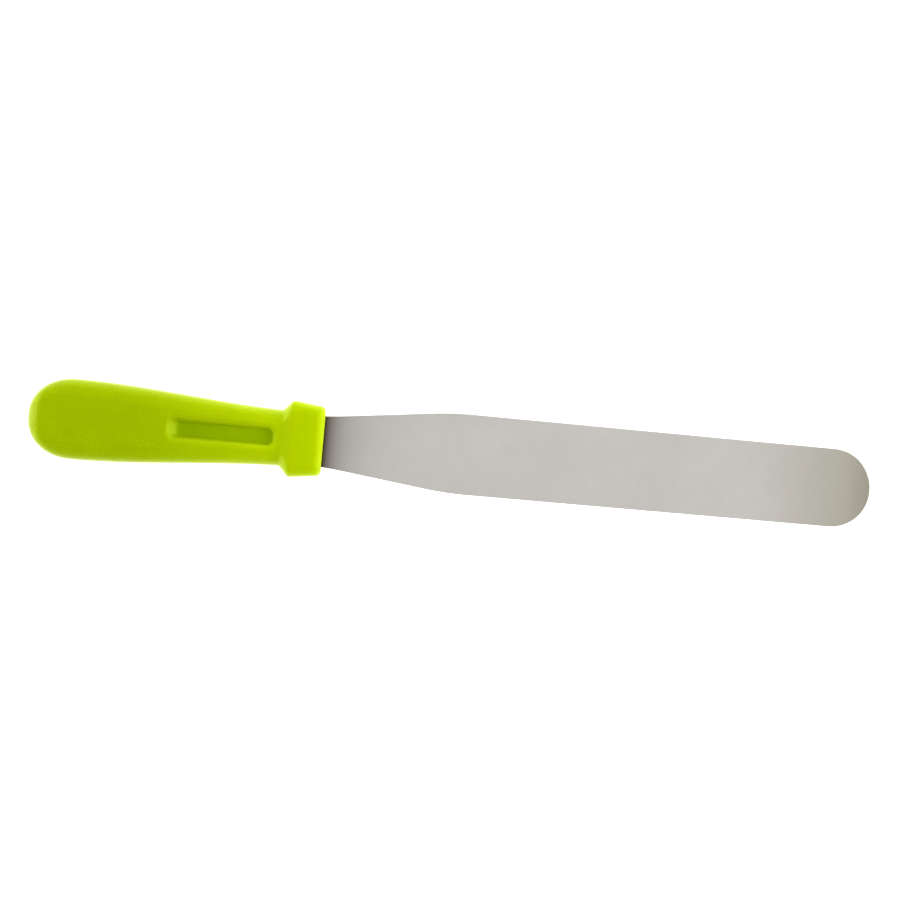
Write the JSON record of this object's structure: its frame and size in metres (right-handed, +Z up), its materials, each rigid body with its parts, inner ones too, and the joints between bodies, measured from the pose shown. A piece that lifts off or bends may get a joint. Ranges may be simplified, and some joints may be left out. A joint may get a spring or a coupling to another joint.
{
  "type": "icing spatula",
  "caption": "Straight icing spatula: long flat round-tipped steel blade whose hidden tang is held in a green moulded handle with a flared collar and thumb grooves.",
  "frame": {"origin": "middle of the bounding box in X and Y, on the plane under the handle's butt (lowest point, z = 0)", "axes": "+X along the tool from the handle's butt end to the blade's tip; +Y across the blade's width; +Z up, square to the blade's faces. The tool is symmetric about Y = 0 and about its mid plane at z = 0.010"},
  "size_m": [0.391, 0.0376, 0.02],
  "materials": {
    "blade_steel": "satin, fine grain",
    "handle_plastic": "satin lime green, moulded"
  },
  "bodies": {
    "root": {"blade": "blade_steel", "handle": "handle_plastic"}
  },
  "joints": []
}
